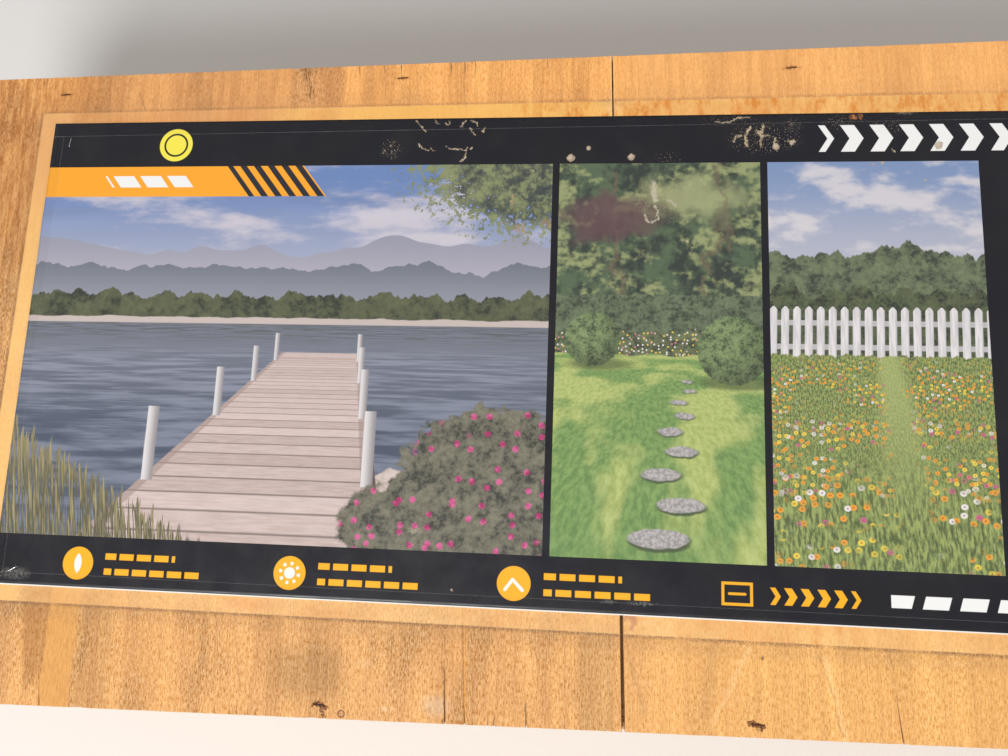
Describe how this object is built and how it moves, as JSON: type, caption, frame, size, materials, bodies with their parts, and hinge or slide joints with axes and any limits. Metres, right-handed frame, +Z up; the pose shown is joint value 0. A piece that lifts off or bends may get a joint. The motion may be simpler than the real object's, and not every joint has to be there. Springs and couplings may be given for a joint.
{
  "type": "plywood shipping crate",
  "caption": "Long closed plywood crate on cross bearers that leave fork gaps, with a half-lapped timber frame inside and a wide printed sheet taped to its lid.",
  "frame": {"origin": "on the ground under the middle of the crate, at the bottom centre of its bounding box", "axes": "+X along the crate, to the reader's right; +Y across it, away from the side that the print is read from; +Z up"},
  "size_m": [2.032, 0.567, 0.6006],
  "materials": {
    "plywood": "raw rotary-cut veneer, dry and weathered, with open pores",
    "timber": "sawn softwood, unplaned",
    "print": "glossy full-colour print, lightly creased",
    "clear_tape": "clear glossy packing tape"
  },
  "bodies": {
    "root": {"bearer_1": "timber", "bearer_2": "timber", "bearer_3": "timber", "lid_batten": "timber", "middle_post_front": "timber", "middle_post_back": "timber", "corner_post_front_left": "timber", "corner_post_front_right": "timber", "corner_post_back_left": "timber", "corner_post_back_right": "timber", "bottom_rail_front": "timber", "bottom_rail_back": "timber", "bottom_rail_left": "timber", "bottom_rail_right": "timber", "top_rail_front": "timber", "top_rail_back": "timber", "top_rail_left": "timber", "top_rail_right": "timber", "lid_sheet_left": "plywood", "lid_sheet_right": "plywood", "floor_sheet_left": "plywood", "floor_sheet_right": "plywood", "end_wall_left": "plywood", "end_wall_right": "plywood", "front_wall_left": "plywood", "front_wall_right": "plywood", "back_wall_left": "plywood", "back_wall_right": "plywood", "label_sheet": "print", "tape_far": "clear_tape", "tape_near": "clear_tape", "tape_left": "clear_tape", "tape_right": "clear_tape"}
  },
  "joints": []
}
